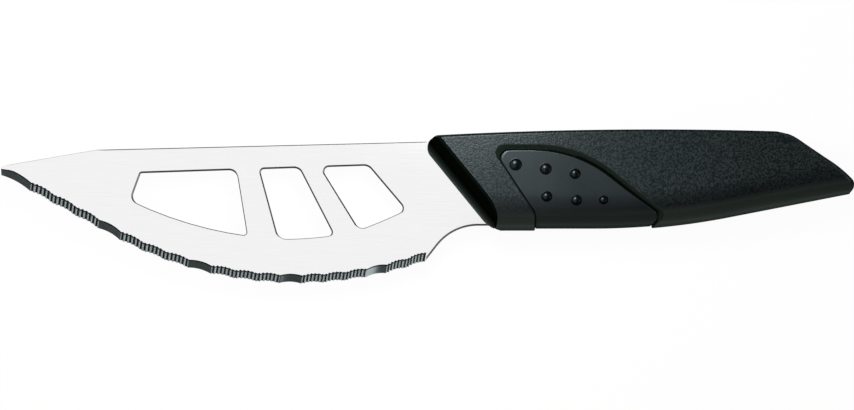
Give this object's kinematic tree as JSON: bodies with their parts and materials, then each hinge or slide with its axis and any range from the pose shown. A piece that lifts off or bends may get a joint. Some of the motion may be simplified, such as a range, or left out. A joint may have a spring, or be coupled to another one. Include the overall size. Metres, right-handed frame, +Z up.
{
  "type": "pizza knife",
  "caption": "Table pizza knife with a deep windowed serrated blade, a black two-scale handle, a smooth bolster and a soft dotted grip insert.",
  "frame": {"origin": "centre of the knife's box on the surface that it lies on, on its right flank", "axes": "+X from the tip to the butt, +Y from the edge to the spine, +Z up out of the left flank"},
  "size_m": [0.2556, 0.0462, 0.02],
  "materials": {
    "blade_steel": "pale satin, darker where ground",
    "bolster_black": "smooth black",
    "scale_black": "fine grained slate black",
    "saddle_soft": "soft satin black",
    "pin_steel": "drawn wire"
  },
  "bodies": {
    "root": {"blade": "blade_steel", "bolster": "bolster_black", "left_scale": "scale_black", "right_scale": "scale_black", "grip_saddle": "saddle_soft", "dowel_pins": "pin_steel"}
  },
  "joints": []
}
